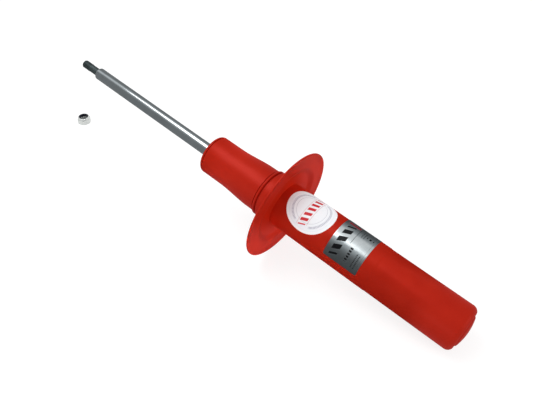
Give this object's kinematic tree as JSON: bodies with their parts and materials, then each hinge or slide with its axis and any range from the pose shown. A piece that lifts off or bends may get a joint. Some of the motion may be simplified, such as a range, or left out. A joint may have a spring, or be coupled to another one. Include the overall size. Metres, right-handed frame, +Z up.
{
  "type": "suspension strut",
  "caption": "Twin-tube suspension strut with a round spring seat, a bare rod with a threaded stud and a plain clamp-on lower tube, lying beside its loose lock nut.",
  "frame": {"origin": "on the bench, at the middle of the footprint of the whole part with its nut", "axes": "+Z up, +X along the lying strut in plan towards its lower end, +Y to the back"},
  "size_m": [0.6196, 0.131, 0.1295],
  "materials": {
    "red_paint": "satin gloss",
    "plain_steel": "plain",
    "sintered_iron": "matt",
    "bush_bronze": "plain",
    "black_rubber": "matt",
    "spring_steel": "polished",
    "white_label": "satin foil",
    "silver_label": "brushed foil",
    "hard_chrome": "ground and polished",
    "bumper_elastomer": "matt",
    "band_polymer": "matt",
    "bright_zinc": "bright zinc plate",
    "dark_nylon": "satin"
  },
  "bodies": {
    "root": {"reservoir_tube": "red_paint", "base_cap": "red_paint", "spring_seat": "red_paint", "seat_collar": "red_paint", "collar_weld": "red_paint", "pressure_tube": "plain_steel", "rod_guide": "sintered_iron", "guide_bush": "bush_bronze", "guide_o_ring": "black_rubber", "rod_seal": "black_rubber", "seal_spring": "spring_steel", "seal_retainer": "plain_steel", "foot_valve_body": "sintered_iron", "foot_valve_bolt": "plain_steel", "foot_valve_discs": "spring_steel", "foot_intake_spring": "spring_steel", "round_label": "white_label", "rating_label": "silver_label", "lock_nut": "bright_zinc", "nut_insert": "dark_nylon"},
    "foot_intake": {"foot_intake_plate": "spring_steel"},
    "band": {"piston_band": "band_polymer"},
    "rod": {"piston_rod": "hard_chrome", "rebound_stop": "plain_steel", "rebound_bumper": "bumper_elastomer", "piston": "sintered_iron", "rebound_discs": "spring_steel", "rebound_spring": "spring_steel", "piston_nut": "plain_steel", "intake_spring": "spring_steel", "intake_stop": "plain_steel"},
    "piston_intake": {"intake_plate": "spring_steel"}
  },
  "joints": [
    {"name": "rod_slide", "type": "slide", "parent": "root", "child": "band", "axis": [0.9831, 0, -0.1831], "range_m": [0, 0.17], "stiffness_N_per_m": 120, "springref_m": -0.7},
    {"name": "rod_turn", "type": "hinge", "parent": "band", "child": "rod", "pos_m": [0.01379, 0, 0.07823], "axis": [-0.9831, 0, 0.1831], "continuous": true},
    {"name": "piston_intake_lift", "type": "slide", "parent": "rod", "child": "piston_intake", "axis": [-0.9831, 0, 0.1831], "range_m": [0, 0.001], "stiffness_N_per_m": 300, "springref_m": -0.002, "deforming": ["intake_spring"]},
    {"name": "foot_intake_lift", "type": "slide", "parent": "root", "child": "foot_intake", "axis": [-0.9831, 0, 0.1831], "range_m": [0, 0.001], "stiffness_N_per_m": 300, "springref_m": -0.002, "deforming": ["foot_intake_spring"]}
  ]
}
